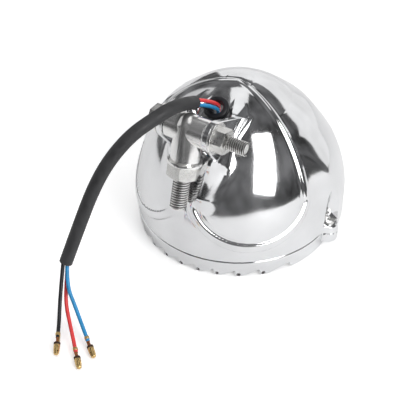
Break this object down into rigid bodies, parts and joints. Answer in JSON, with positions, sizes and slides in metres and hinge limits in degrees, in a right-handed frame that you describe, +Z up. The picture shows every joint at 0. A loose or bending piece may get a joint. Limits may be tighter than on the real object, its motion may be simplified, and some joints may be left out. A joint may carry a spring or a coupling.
{
  "type": "motorcycle headlight",
  "caption": "Polished bullet headlight with framed side panels, brow ridges, toothed rim, tilting threaded mounting stud and a sleeved lead ending in bare crimp terminals.",
  "frame": {"origin": "on the table, in the middle of the lamp's footprint without its cord; the lamp axis stands 1.2 mm to +Y of it", "axes": "+Z up along the lamp axis from lens to rear, -Y towards the underside with the mounting stud, +X towards the nut of the pivot bolt"},
  "size_m": [0.1376, 0.2283, 0.1158],
  "materials": {
    "polished_shell": "mirror polished",
    "screw_steel": "plain",
    "lens_glass": "clear",
    "bulb_glass": "clear",
    "black_rubber": "matte",
    "reflector_mirror": "mirror",
    "zinc_steel": "bright zinc",
    "black_plastic": "matte",
    "sleeve_black": "satin",
    "wire_red": "satin",
    "wire_blue": "satin",
    "wire_black": "satin",
    "brass": "plain"
  },
  "bodies": {
    "lamp": {"housing": "polished_shell", "bezel": "polished_shell", "bezel_screws": "screw_steel", "lens": "lens_glass", "lens_gasket": "black_rubber", "reflector": "reflector_mirror", "retaining_ring": "zinc_steel", "bulb": "bulb_glass", "bulb_base": "zinc_steel", "bulb_clip": "zinc_steel", "bulb_connector": "black_plastic", "dust_boot": "black_rubber", "grommet": "black_rubber", "pivot_bolt": "zinc_steel", "pivot_nut": "zinc_steel", "pivot_washers": "zinc_steel", "cable_sleeve": "sleeve_black", "lead_red": "wire_red", "wire_red": "wire_red", "lead_blue": "wire_blue", "wire_blue": "wire_blue", "lead_black": "wire_black", "wire_black": "wire_black", "terminal_red": "brass", "terminal_blue": "brass", "terminal_black": "brass"},
    "mount": {"swivel_stud": "zinc_steel", "stud_washer": "zinc_steel", "stud_nut": "zinc_steel"}
  },
  "joints": [
    {"name": "aim_pivot", "type": "hinge", "parent": "lamp", "child": "mount", "pos_m": [0, -0.0523, 0.096], "axis": [-1, 0, 0], "range_deg": [0, 75]}
  ]
}
